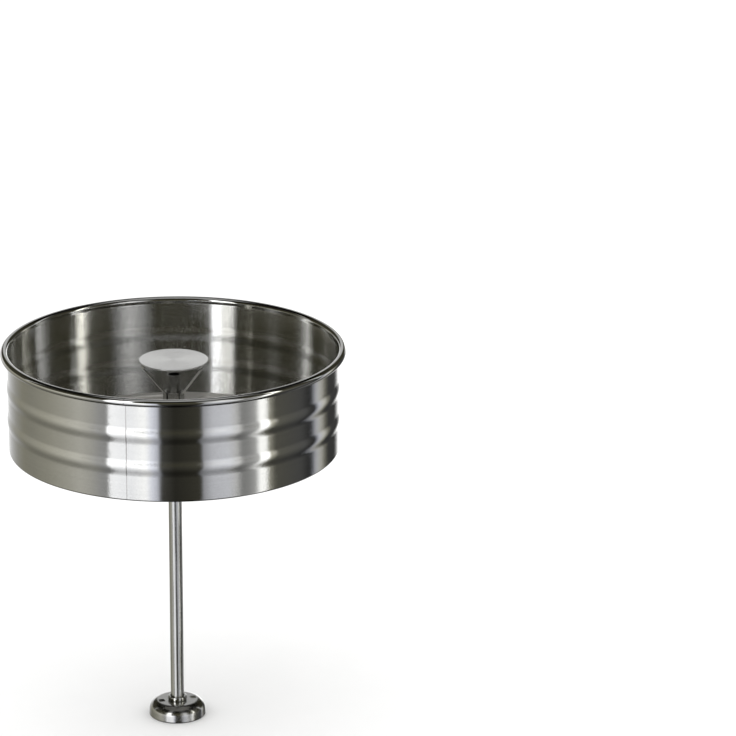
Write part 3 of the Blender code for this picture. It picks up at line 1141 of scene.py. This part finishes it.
@dataclass
class SievePlate:
    """The pressed sieve: flat hub, spokes and border round six sunken, punched fields."""

    sheet: float = 0.5 * MM
    ease: float = 0.08 * MM
    sleeve_gap: float = 0.3 * MM
    edge_bend: float = 0.7 * MM
    field_count: int = 6
    field_start_deg: float = 53.0
    field_drop: float = 0.9 * MM
    inner_radius: float = 26.4 * MM
    outer_border: float = 5.9 * MM
    spoke_width: float = 9.4 * MM
    inner_fillet: float = 2.0 * MM
    outer_fillet: float = 6.0 * MM
    press_width: float = 1.7 * MM
    press_steps: int = 8
    fillet_step_deg: float = 12.0
    border_step_deg: float = 3.0
    hub_step_deg: float = 5.0
    overlap: float = 0.02 * MM
    hole_radius: float = 0.66 * MM
    hole_sides: int = 8
    hole_pitch: float = 2.43 * MM
    hole_grid_deg: float = 76.0
    holes_from: float = 28.8 * MM
    holes_to: float = 88.0 * MM
    holes_beside_spoke: float = 7.8 * MM
    segments: int = 240

    def __post_init__(self) -> None:
        """Take the sieve's place from its node and its hole from the sleeve's."""
        low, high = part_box("sieve_plate")
        self.radius, self.bottom, self.top = high.x, low.z, high.z
        self.underside = self.top - self.sheet
        self.hole = GuideSleeve().radius + self.sleeve_gap

    def stations(self) -> list[Station]:
        """Lay stations from the centre hole out to the foot of the skirt.

        Returns:
            The plate's stations, from the middle outwards.
        """
        half = self.sheet / 2
        middle = self.underside + half
        corner = Vector((self.radius - self.edge_bend, self.top - self.edge_bend))
        stations = [(Vector((self.hole, middle)), 90.0)]
        stations += bend(corner, self.edge_bend - half, arc_angles(90.0, 0.0, BEND_STEP_DEG))
        return stations + [(Vector((self.radius - half, self.bottom)), 0.0)]

    def field_outline(self) -> list[Vector]:
        """Draw the outer edge of one field's pressed bank, along +X.

        Returns:
            Points once round, anticlockwise.
        """
        grow = self.press_width / 2
        aside = self.spoke_width / 2 - grow
        inner = self.inner_radius - grow
        outer = self.radius - self.outer_border + grow
        along = heading(-180.0 / self.field_count)
        across = Vector((-along.y, along.x))

        def corner(arc_radius: float, fillet: float, sign: int) -> Vector:
            """Find the centre of a corner's fillet.

            Args:
                arc_radius: Radius of the arc that the fillet runs into.
                fillet: Radius of the fillet.
                sign: 1 inside the arc and -1 outside it.

            Returns:
                The centre.
            """
            reach = arc_radius - sign * fillet
            off_spoke = aside + fillet
            return along * math.sqrt(reach**2 - off_spoke**2) + across * off_spoke

        def round_off(centre: Vector, fillet: float, start: float, end: float) -> list[Vector]:
            """Lay points round a fillet, the short way.

            Args:
                centre: Centre of the fillet.
                fillet: Its radius.
                start: Angle of the first point, in degrees.
                end: Angle of the last point, in degrees.

            Returns:
                The points.
            """
            sweep = (start - end + 180.0) % 360.0 - 180.0
            angles = arc_angles(start, start - sweep, self.fillet_step_deg)
            return [centre + heading(angle) * fillet for angle in angles]

        def bearing(point: Vector) -> float:
            """Give a point's angle about the axis in degrees."""
            return math.degrees(math.atan2(point.y, point.x))

        in_fillet, out_fillet = self.inner_fillet + grow, self.outer_fillet + grow
        low_in, low_out = corner(inner, in_fillet, -1), corner(outer, out_fillet, 1)
        spoke_side = bearing(-across)
        lower = round_off(low_in, in_fillet, bearing(low_in) + 180.0, spoke_side)
        lower += round_off(low_out, out_fillet, spoke_side, bearing(low_out))
        edge = bearing(low_out)
        border = [heading(angle) * outer for angle in arc_angles(edge, -edge, self.border_step_deg)[1:-1]]
        upper = [Vector((point.x, -point.y)) for point in lower[::-1]]
        edge = bearing(low_in)
        hub = [heading(angle) * inner for angle in arc_angles(-edge, edge, self.hub_step_deg)[1:-1]]
        return lower + border + upper + hub

    def press_tool(self, name: str, level: float, ceiling: float) -> Piece:
        """Shape the six punches that sink the fields, with a softly curved bank.

        Args:
            name: Name of the tool.
            level: Height of the face that the bank leaves.
            ceiling: Height of the punches' flat backs.

        Returns:
            The tool.
        """
        start = level + self.overlap
        drop = self.field_drop + self.overlap
        points = [Vector((point.x, point.y, start)) for point in self.field_outline()]
        tool = slab(name, points, Vector((0.0, 0.0, ceiling - start)))
        with tool.editing(SelectBy.FACE):
            tool.select(SelectBy.FACE, lambda face: face.normal.z < -0.9)
            depths = [
                drop / 2 * (1 - math.cos(math.pi * i / self.press_steps))
                for i in range(self.press_steps + 1)
            ]
            for above, below in pairwise(depths):
                bpy.ops.mesh.inset(thickness=self.press_width / self.press_steps, depth=below - above)
        return tool.ring_of(self.field_count, self.field_start_deg)

    def is_punched(self, x: float, y: float) -> bool:
        """Tell whether the sheet has a hole centred here.

        Args:
            x: Place along X.
            y: Place along Y.

        Returns:
            True inside a field and clear of its bank.
        """
        away = math.hypot(x, y)
        if not self.holes_from <= away <= self.holes_to:
            return False
        between = 360.0 / self.field_count
        off_spoke = (math.degrees(math.atan2(y, x)) - self.field_start_deg - between / 2) % between
        off_spoke = min(off_spoke, between - off_spoke)
        return away * math.sin(math.radians(off_spoke)) >= self.holes_beside_spoke

    def punches(self) -> Piece:
        """Set out one punch for every hole, on a square grid.

        Returns:
            The punches as one tool.
        """
        reach = math.ceil(self.holes_to / self.hole_pitch)
        corner = -reach * self.hole_pitch
        clear_selection()
        bpy.ops.mesh.primitive_cylinder_add(
            vertices=self.hole_sides,
            radius=self.hole_radius,
            depth=6 * self.sheet,
            location=(corner, corner, self.underside),
        )
        tool = Piece.fresh("hole_punches")
        bpy.ops.object.transform_apply(location=True, rotation=False, scale=False)
        for step in ((self.hole_pitch, 0.0, 0.0), (0.0, self.hole_pitch, 0.0)):
            tool.modify(
                "ARRAY",
                count=2 * reach + 1,
                use_relative_offset=False,
                use_constant_offset=True,
                constant_offset_displace=step,
            )
        grid_x = heading(self.hole_grid_deg) * self.hole_pitch
        grid_y = heading(self.hole_grid_deg + 90.0) * self.hole_pitch

        def misses(vertex: bmesh.types.BMVert) -> bool:
            """Tell whether a punch would miss the fields once the grid is turned.

            Args:
                vertex: A vertex of the punch.

            Returns:
                True if the punch is to be taken away.
            """
            column = round(vertex.co.x / self.hole_pitch)
            row = round(vertex.co.y / self.hole_pitch)
            centre = grid_x * column + grid_y * row
            return not self.is_punched(centre.x, centre.y)

        with tool.editing():
            tool.select(SelectBy.VERTEX, misses)
            bpy.ops.mesh.delete(type="VERT")
        LOG.info("sieve holes: %d", len(tool.thing.data.vertices) // (2 * self.hole_sides))
        return tool.turn(self.hole_grid_deg)

    def build(self) -> None:
        """Turn the blank, press its fields, punch its holes and fit it."""
        outline = sheet_outline(self.stations(), self.sheet, self.ease)
        plate = turned("sieve_pressing", outline, self.segments)
        boss = self.press_tool("field_boss", self.underside, self.underside + self.sheet / 2)
        plate.combine(boss, "UNION")
        recess = self.press_tool("field_recess", self.top, self.top + self.sheet)
        plate.combine(recess, "DIFFERENCE")
        plate.combine(self.punches(), "DIFFERENCE")
        plate.shade().fit(Body.BASKET, Slot.SIEVE, "sieve_plate", SatinSieve())


@dataclass
class GuideSleeve:
    """The sleeve that slides on the pump tube, flanged under the sieve."""

    wall: float = 0.7 * MM
    ease: float = 0.15 * MM
    lip_width: float = 3.7 * MM
    bend_radius: float = 1.0 * MM
    segments: int = 96

    def __post_init__(self) -> None:
        """Take the sleeve's place from its node."""
        low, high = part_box("centre_sleeve")
        self.bottom, self.top, self.lip_radius = low.z, high.z, high.x
        self.radius = self.lip_radius - self.lip_width

    def build(self) -> None:
        """Turn the sleeve and fit it."""
        middle = self.radius - self.wall / 2
        stations = flanged(
            middle, self.wall, self.lip_radius, self.bend_radius, self.bottom, self.top
        )
        sleeve = turned("guide_sleeve", sheet_outline(stations, self.wall, self.ease), self.segments)
        finish = DrawnTube(light=(0.76, 0.75, 0.73), dark=(0.62, 0.61, 0.59))
        sleeve.fit(Body.BASKET, Slot.TUBE, "centre_sleeve", finish)


@dataclass
class SplashDisc:
    """The flat disc that turns the jet back down over the sieve, on three strip legs."""

    edge_round: float = 0.4 * MM
    edge_step_deg: float = 18.0
    leg_count: int = 3
    leg_start_deg: float = -37.0
    leg_width: float = 3.8 * MM
    leg_sheet: float = 0.7 * MM
    leg_ease: float = 0.1 * MM
    leg_bend: float = 0.9 * MM
    leg_bend_step_deg: float = 12.0
    foot_tab: float = 5.0 * MM
    top_tab: float = 4.5 * MM
    edge_inset: float = 0.6 * MM
    gap: float = 0.3 * MM
    bend_below_top: float = 1.2 * MM
    weld_radius: float = 0.75 * MM
    weld_depth: float = 0.12 * MM
    segments: int = 192

    def __post_init__(self) -> None:
        """Take the disc's place from its node and its legs' from the sleeve's."""
        low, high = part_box("splash_disc")
        self.bottom, self.top, self.radius = low.z, high.z, high.x
        self.sleeve = GuideSleeve()

    def build_disc(self) -> None:
        """Turn the disc with its rounded edge and fit it."""
        soft = self.edge_round
        under = Vector((self.radius - soft, self.bottom + soft))
        over = Vector((self.radius - soft, self.top - soft))
        outline = [Vector((0.0, self.bottom))]
        outline += [point for point, _ in bend(under, soft, arc_angles(-90.0, 0.0, self.edge_step_deg))]
        outline += [point for point, _ in bend(over, soft, arc_angles(0.0, 90.0, self.edge_step_deg))]
        outline += [Vector((0.0, self.top))]
        disc = turned("spreader_disc", outline, self.segments, closed=False)
        disc.fit(Body.BASKET, Slot.DISC, "splash_disc", SpunDisc())

    def leg_stations(self) -> list[Station]:
        """Lay stations along the sleeve's tab, the slanted strip and the disc's tab.

        Returns:
            The strip's stations, from the sleeve up to the disc.
        """
        half = self.leg_sheet / 2
        tab = self.sleeve.radius + self.gap + half
        turn = self.sleeve.top - self.bend_below_top
        top = self.bottom - self.gap - half
        edge = self.radius - self.edge_inset - half
        lower = Vector((tab + self.leg_bend, turn))
        upper = Vector((edge - self.leg_bend, top - self.leg_bend))
        facing = common_tangent(lower, -self.leg_bend, upper, self.leg_bend, 1)
        stations = [(Vector((tab, turn - self.foot_tab)), 0.0)]
        below = bend(lower, -self.leg_bend, arc_angles(0.0, facing, self.leg_bend_step_deg))
        above = bend(upper, self.leg_bend, arc_angles(facing, 90.0, self.leg_bend_step_deg))
        return stations + below + above + [(Vector((upper.x - self.top_tab, top)), 90.0)]

    def build_legs(self) -> None:
        """Bend one strip, bevel its edges, and stand a copy at each place."""
        outline = sheet_outline(self.leg_stations(), self.leg_sheet, self.leg_ease)
        side = -self.leg_width / 2
        points = [Vector((point.x, side, point.y)) for point in outline]
        strip = slab("spreader_strip", points, Vector((0.0, self.leg_width, 0.0)))

        def runs_along(edge: bmesh.types.BMEdge) -> bool:
            """Tell whether an edge runs along the strip and not across it."""
            return abs(edge.verts[0].co.y - edge.verts[1].co.y) < MERGE_DISTANCE

        with strip.editing(SelectBy.EDGE):
            strip.select(SelectBy.EDGE, runs_along)
            bpy.ops.mesh.bevel(offset=self.leg_ease, segments=2, affect="EDGES", clamp_overlap=False)
        strip.clean()
        strip.shade()
        for i in range(self.leg_count):
            leg = strip.copy(f"spreader_leg_{i + 1}")
            leg.turn(self.leg_start_deg + 360.0 * i / self.leg_count)
            leg.fit(Body.BASKET, Slot.STRIP, f"disc_leg_{i + 1}", RolledStrip())
        bpy.data.objects.remove(strip.thing, do_unlink=True)

    def build(self) -> None:
        """Build the disc and its legs."""
        self.build_disc()
        self.build_legs()


# ---------------------------------------------------------------------------------------
# The pump stem
# ---------------------------------------------------------------------------------------


@dataclass
class PumpStem:
    """The drawn tube, flared at its foot, with the ring that the basket rests on."""

    wall: float = 0.5 * MM
    ease: float = 0.12 * MM
    flare_width: float = 1.8 * MM
    flare_bend: float = 0.6 * MM
    ring_ease: float = 0.5 * MM
    fit_gap: float = 0.3 * MM
    segments: int = 80

    def __post_init__(self) -> None:
        """Take the tube's place from its node."""
        low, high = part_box("pump_tube")
        self.bottom, self.top = low.z, high.z
        self.flare_radius = high.x
        self.radius = self.flare_radius - self.flare_width

    def build(self) -> None:
        """Turn the tube and its ring and fit them."""
        middle = self.radius - self.wall / 2
        stations = flanged(
            middle, self.wall, self.flare_radius, self.flare_bend, self.bottom, self.top
        )
        tube = turned("riser_tube", sheet_outline(stations, self.wall, self.ease), self.segments)
        tube.fit(Body.PUMP, Slot.TUBE, "pump_tube", DrawnTube())
        low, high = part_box("basket_stop")
        hole = self.radius + self.fit_gap
        outline = ring_outline(hole, high.x, low.z, high.z, self.ring_ease)
        ring = turned("seat_ring", outline, self.segments)
        ring.fit(Body.PUMP, Slot.TUBE, "basket_stop", PolishedPressing())


@dataclass
class BellFoot:
    """The pressed bell with its inlets, its ferrule and the loose valve washer."""

    sheet: float = 0.6 * MM
    ease: float = 0.12 * MM
    crown_radius: float = 11.0 * MM
    shoulder: float = 6.0 * MM
    shoulder_step_deg: float = 6.0
    hem_bend: float = 1.0 * MM
    hem_step_deg: float = 12.0
    hem_width: float = 1.6 * MM
    inlet_count: int = 2
    inlet_start_deg: float = 14.0
    inlet_radius: float = 9.8 * MM
    inlet_length: float = 3.5 * MM
    inlet_width: float = 4.0 * MM
    inlet_round: float = 0.7 * MM
    tube_gap: float = 0.3 * MM
    neck_wall: float = 0.4 * MM
    seat_gap: float = 0.3 * MM
    ferrule_round: float = 0.55 * MM
    ferrule_step_deg: float = 15.0
    washer_gap: float = 0.5 * MM
    segments: int = 144

    def __post_init__(self) -> None:
        """Take the foot's place from its node."""
        low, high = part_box("pump_foot")
        self.radius, self.bottom, self.top = high.x, low.z, high.z
        self.tube_radius = PumpStem().radius

    def bell_stations(self) -> list[Station]:
        """Lay stations from the neck hole over the shoulder and down to the turned-in hem.

        Returns:
            The bell's stations, from the top down.
        """
        half = self.sheet / 2
        shoulder = Vector((self.crown_radius, self.top - self.shoulder))
        hem = Vector((self.radius - self.hem_bend, self.bottom + self.hem_bend))
        lean = common_tangent(shoulder, self.shoulder, hem, self.hem_bend, -1)
        hole = self.tube_radius + self.tube_gap + self.neck_wall + self.tube_gap
        stations = [(Vector((hole, self.top - half)), 90.0)]
        stations += bend(shoulder, self.shoulder - half, arc_angles(90.0, lean, self.shoulder_step_deg))
        stations += bend(hem, self.hem_bend - half, arc_angles(lean, -90.0, self.hem_step_deg))
        return stations + [(Vector((hem.x - self.hem_width, self.bottom + half)), -90.0)]

    def inlet_tool(self) -> Piece:
        """Shape the punches for the inlet slots, with rounded corners.

        Returns:
            The tool.
        """
        clear_selection()
        bpy.ops.mesh.primitive_cube_add(size=self.inlet_length, location=(0.0, 0.0, 0.0))
        tool = Piece.fresh("inlet_punches")
        with tool.editing(SelectBy.EDGE):
            bpy.ops.transform.resize(value=(1.0, self.inlet_width / self.inlet_length, 1.0))
            bpy.ops.transform.translate(value=(self.inlet_radius, 0.0, self.top))
            tool.select(SelectBy.EDGE, lambda edge: abs(edge.verts[0].co.z - edge.verts[1].co.z) > MM)
            bpy.ops.mesh.bevel(offset=self.inlet_round, segments=4, affect="EDGES")
        return tool.ring_of(self.inlet_count, self.inlet_start_deg)

    def build_bell(self) -> None:
        """Turn the bell, punch its inlets and fit it."""
        outline = sheet_outline(self.bell_stations(), self.sheet, self.ease)
        bell = turned("bell_foot", outline, self.segments)
        bell.combine(self.inlet_tool(), "DIFFERENCE")
        finish = PolishedPressing(light=(0.66, 0.66, 0.64), dark=(0.40, 0.40, 0.39), roughness=0.17)
        bell.shade().fit(Body.PUMP, Slot.FOOT, "pump_foot", finish)

    def build_ferrule(self) -> None:
        """Turn the ferrule, neck below and rounded flange above, and fit it."""
        low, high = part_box("foot_ferrule")
        bore = self.tube_radius + self.tube_gap
        neck = bore + self.neck_wall
        seat = self.top + self.seat_gap
        soft = self.ferrule_round
        crown = Vector((high.x - soft, high.z - soft))
        outline = [Vector((bore, low.z)), Vector((neck, low.z)), Vector((neck, seat))]
        outline += [Vector((high.x - self.ease, seat)), Vector((high.x, seat + self.ease))]
        outline += [point for point, _ in bend(crown, soft, arc_angles(0.0, 90.0, self.ferrule_step_deg))]
        outline += [Vector((bore + self.ease, high.z)), Vector((bore, high.z - self.ease))]
        ferrule = turned("crown_ferrule", outline, self.segments)
        ferrule.fit(Body.PUMP, Slot.FOOT, "foot_ferrule", PolishedPressing(roughness=0.1))

    def build_washer(self) -> None:
        """Turn the loose valve washer and fit it."""
        low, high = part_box("valve_washer")
        hole = self.tube_radius + self.washer_gap
        outline = ring_outline(hole, high.x, low.z, high.z, self.ease)
        washer = turned("valve_flap_washer", outline, self.segments)
        # Painted shade: the washer is coloured near-black so that the inlet slots above it read as the shade
        # inside the bell.
        stained = SpunDisc(light=(0.20, 0.18, 0.15), dark=(0.11, 0.10, 0.08), roughness=0.45)
        washer.fit(Body.VALVE, Slot.WASHER, "valve_washer", stained)

    def build(self) -> None:
        """Build the bell, its ferrule and its washer."""
        self.build_bell()
        self.build_ferrule()
        self.build_washer()


# ---------------------------------------------------------------------------------------
# The studio
# ---------------------------------------------------------------------------------------


@dataclass(frozen=True)
class Glow:
    """How bright and how warm the studio's surround is at one bearing."""

    bearing_deg: float
    level: float
    warmth: float = 0.0

    def colour(self) -> tuple[float, float, float]:
        """Give the glow's colour."""
        return (self.level * (1 + 0.3 * self.warmth), self.level, self.level * (1 - 1.6 * self.warmth))


# What a wall mirrors: the room at and below the horizon, left and right of the camera.
LOW_LEFT = (
    Glow(-180.0, 0.95), Glow(-166.0, 0.80), Glow(-156.0, 0.58), Glow(-140.0, 0.34, 0.06),
    Glow(-128.0, 0.27, 0.12), Glow(-116.0, 0.28, 0.10), Glow(-98.0, 0.34, 0.10),
    Glow(-80.0, 0.44, 0.08), Glow(-68.0, 0.54, 0.06), Glow(-60.0, 0.48, 0.05),
    Glow(-52.0, 0.38), Glow(-46.5, 0.34), Glow(-45.5, 1.40, -0.02), Glow(-30.0, 1.25, -0.03),
    Glow(-20.0, 1.46, -0.01), Glow(-15.5, 1.00, -0.08), Glow(-11.5, 0.70, -0.08),
    Glow(-9.5, 0.07, 0.06), Glow(0.0, 0.03, 0.12),
)
LOW_RIGHT = (
    Glow(0.0, 0.03, 0.12), Glow(18.0, 0.05, 0.14), Glow(19.5, 0.40, -0.05),
    Glow(26.0, 0.68, -0.05), Glow(37.0, 0.76, -0.05), Glow(43.0, 0.66), Glow(47.0, 0.28),
    Glow(52.0, 0.33), Glow(58.0, 0.50), Glow(60.0, 1.50), Glow(66.0, 1.50), Glow(67.0, 0.45, 0.1),
    Glow(73.0, 0.10, 0.10), Glow(98.0, 0.08), Glow(109.0, 0.02), Glow(111.0, 0.14, -0.1),
    Glow(115.0, 0.55, -0.06), Glow(122.0, 0.55, 0.05), Glow(128.0, 0.20, 0.1), Glow(134.0, 0.05),
    Glow(150.0, 0.05), Glow(157.0, 0.65), Glow(163.0, 1.45), Glow(180.0, 0.95),
)

# What the basket's inside and the disc mirror: narrow windows high in a dim room.
HIGH_LEFT = (
    Glow(-180.0, 0.56), Glow(-172.0, 0.56), Glow(-166.0, 0.04, 0.2), Glow(-112.5, 0.05, 0.2),
    Glow(-112.0, 0.60), Glow(-108.0, 0.60), Glow(-107.5, 0.05, 0.2), Glow(-45.5, 0.08, 0.2),
    Glow(-43.5, 2.60, 0.01), Glow(-36.0, 2.60, 0.02), Glow(-34.5, 4.00, -0.02), Glow(-28.5, 4.00, -0.02),
    Glow(-27.5, 0.08, 0.2), Glow(0.0, 0.07, 0.25),
)
HIGH_RIGHT = (
    Glow(0.0, 0.07, 0.25), Glow(14.0, 0.08, 0.2), Glow(22.0, 0.60), Glow(32.0, 1.20),
    Glow(42.0, 0.35), Glow(47.0, 0.07, 0.2), Glow(66.5, 0.07, 0.2), Glow(67.5, 2.90, 0.05),
    Glow(72.5, 2.90, 0.05), Glow(73.5, 0.07, 0.2), Glow(106.5, 0.05, 0.2), Glow(107.0, 0.80),
    Glow(113.0, 0.80), Glow(113.5, 0.04, 0.2), Glow(166.0, 0.04, 0.2), Glow(172.0, 0.56),
    Glow(180.0, 0.56),
)

# How bright each is at heights above the horizon, in degrees.
LOW_LIFTS = (
    (-80.0, 0.03), (-60.0, 0.10), (-48.0, 0.42), (-39.0, 0.48), (-17.0, 1.0), (5.0, 1.55), (9.0, 1.55)
)
HIGH_LIFTS = ((0.0, 1.0), (30.0, 1.0), (40.0, 0.1), (60.0, 0.1))


@dataclass
class Studio:
    """Pale floor, soft light, the surround that the steel mirrors, and the camera."""

    floor_size: float = 30.0
    paper_light: tuple[float, float, float] = (0.88, 0.88, 0.875)
    paper_dark: tuple[float, float, float] = (0.86, 0.86, 0.855)
    surround_radius: float = 5.0
    surround_low: float = -6.0
    surround_high: float = 5.0
    surround_segments: int = 96
    high_from_deg: float = 6.0
    high_to_deg: float = 10.0
    overhead_level: float = 0.42
    overhead_from_deg: float = 60.0
    overhead_to_deg: float = 72.0
    air_strength: float = 1.25
    lamp_place: tuple[float, float, float] = (-0.5, -0.6, 2.2)
    lamp_target: tuple[float, float, float] = (0.0, 0.0, 0.1)
    lamp_size: float = 2.4
    lamp_watts: float = 7.0
    camera_distance: float = 2.5
    camera_reach: float = 40.0
    camera_pitch_deg: float = 17.78
    camera_roll_deg: float = -0.653
    lens: float = 206.2
    look_right_deg: float = 2.643
    look_down_deg: float = 0.299

    def build_floor(self) -> None:
        """Lay the pale floor under the foot."""
        clear_selection()
        bpy.ops.mesh.primitive_grid_add(
            x_subdivisions=4, y_subdivisions=4, size=self.floor_size, location=(0.0, 0.0, 0.0)
        )
        floor = Piece.fresh("studio_floor")
        desk = ShaderDesk("floor_paper")
        fibre = desk.grain((40.0, 40.0, 40.0), 4.0)
        colour = desk.blend(fibre, self.paper_dark, self.paper_light)
        paper = desk.node("ShaderNodeBsdfDiffuse", {}, {"Color": colour})
        floor.thing.data.materials.append(desk.output(paper))
        floor.thing.visible_glossy = False

    def surround_material(self) -> bpy.types.Material:
        """Paint the surround's light by its bearing and its height above the horizon.

        Returns:
            The glowing material.
        """
        desk = ShaderDesk("surround_glow")
        x, y, z = desk.axes()
        bearing = x.angle_from(y * -1.0) * (1 / math.tau) + 0.5
        lift = z.angle_from(desk.radius()) * (1 / math.pi) + 0.5

        def ramp(place: Signal, stops: Sequence[tuple[float, tuple[float, ...]]]) -> bpy.types.NodeSocket:
            """Look a place up on a colour ramp."""
            return desk.node("ShaderNodeValToRGB", {"stops": stops}, {"Fac": place}).outputs["Color"]

        def share(height_deg: float) -> float:
            """Give a height above the horizon as a share of the half turn from pole to pole."""
            return height_deg / 180.0 + 0.5

        def rises(lifts: Sequence[tuple[float, float]]) -> bpy.types.NodeSocket:
            """Look the height up in a list of heights in degrees and levels."""
            return ramp(lift, [(share(height), (level,) * 3) for height, level in lifts])

        def painted(sides: Sequence[Sequence[Glow]]) -> bpy.types.NodeSocket:
            """Paint bands of light and shade by their bearing.

            Args:
                sides: The glows left of the camera and those right of it.

            Returns:
                The colour at the bearing.
            """
            halves = [
                ramp(bearing, [(glow.bearing_deg / 360.0 + 0.5, glow.colour()) for glow in side])
                for side in sides
            ]
            return desk.blend(bearing.above(0.4999, 0.5001), *halves)

        def raised(start_deg: float, end_deg: float) -> Signal:
            """Give a mask that rises between two heights in degrees."""
            return lift.above(share(start_deg), share(end_deg))

        low = desk.vector("MULTIPLY", painted((LOW_LEFT, LOW_RIGHT)), rises(LOW_LIFTS))
        high = desk.vector("MULTIPLY", painted((HIGH_LEFT, HIGH_RIGHT)), rises(HIGH_LIFTS))
        walls = desk.blend(raised(self.high_from_deg, self.high_to_deg), low, high)
        overhead = raised(self.overhead_from_deg, self.overhead_to_deg)
        colour = desk.blend(overhead, walls, (self.overhead_level,) * 3)
        return desk.output(desk.node("ShaderNodeEmission", {}, {"Color": colour}))

    def build_surround(self) -> None:
        """Stand a drum of light and shade round the object that only its gloss sees."""
        outline = [
            Vector((0.0, self.surround_low)),
            Vector((self.surround_radius, self.surround_low)),
            Vector((self.surround_radius, self.surround_high)),
            Vector((0.0, self.surround_high)),
        ]
        drum = turned("studio_surround", outline, self.surround_segments, closed=False).thing
        drum.data.materials.append(self.surround_material())
        drum.visible_camera = False
        drum.visible_diffuse = False
        drum.visible_transmission = False
        drum.visible_shadow = False

    def build_light(self) -> None:
        """Light the floor from a white world and one broad lamp overhead."""
        world = bpy.data.worlds.new("studio_air")
        world.use_nodes = True
        background = world.node_tree.nodes["Background"]
        background.inputs["Color"].default_value = (1.0, 1.0, 1.0, 1.0)
        background.inputs["Strength"].default_value = self.air_strength
        bpy.context.scene.world = world
        lamp = bpy.data.lights.new("overhead_lamp", "AREA")
        lamp.shape = "DISK"
        lamp.size = self.lamp_size
        lamp.energy = self.lamp_watts
        holder = bpy.data.objects.new("overhead_lamp", lamp)
        holder.location = self.lamp_place
        aim = Vector(self.lamp_target) - Vector(self.lamp_place)
        holder.rotation_euler = aim.to_track_quat("-Z", "Y").to_euler()
        holder.visible_glossy = False
        bpy.context.scene.collection.objects.link(holder)

    def place_camera(self) -> None:
        """Aim the camera beside the basket, which stands in the lower left of its view."""
        _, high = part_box("basket_wall")
        rim = Vector((0.0, 0.0, high.z))
        pitch = math.radians(self.camera_pitch_deg)
        forward = Vector((0.0, math.cos(pitch), -math.sin(pitch)))
        level = forward.to_track_quat("-Z", "Y").to_matrix()
        seen = Vector((
            -math.tan(math.radians(self.look_right_deg)),
            math.tan(math.radians(self.look_down_deg)),
            -1.0,
        ))
        aside = seen.rotation_difference(Vector((0.0, 0.0, -1.0))).to_matrix()
        roll = Matrix.Rotation(math.radians(self.camera_roll_deg), 3, "Z")
        camera = bpy.data.objects.new("studio_camera", bpy.data.cameras.new("studio_camera"))
        camera.data.lens = self.lens
        camera.data.clip_end = self.camera_reach
        camera.matrix_world = Matrix.LocRotScale(
            rim - forward * self.camera_distance, (level @ roll @ aside).to_quaternion(), None
        )
        bpy.context.scene.collection.objects.link(camera)
        bpy.context.scene.camera = camera

    def build(self) -> None:
        """Set up the floor, the surround, the light and the camera."""
        self.build_floor()
        self.build_surround()
        self.build_light()
        self.place_camera()
        bpy.context.scene.view_settings.view_transform = "Standard"
        LOG.info("studio: floor, surround, lamp and camera")


def main() -> None:
    """Build the basket, the stem and the studio in order."""
    logging.basicConfig(level=logging.INFO, format="%(name)s %(message)s")
    for part in (BasketWall(), SievePlate(), GuideSleeve(), SplashDisc(), PumpStem(), BellFoot(), Studio()):
        part.build()
        LOG.info("%s done", type(part).__name__)


if __name__ == "__main__":
    main()
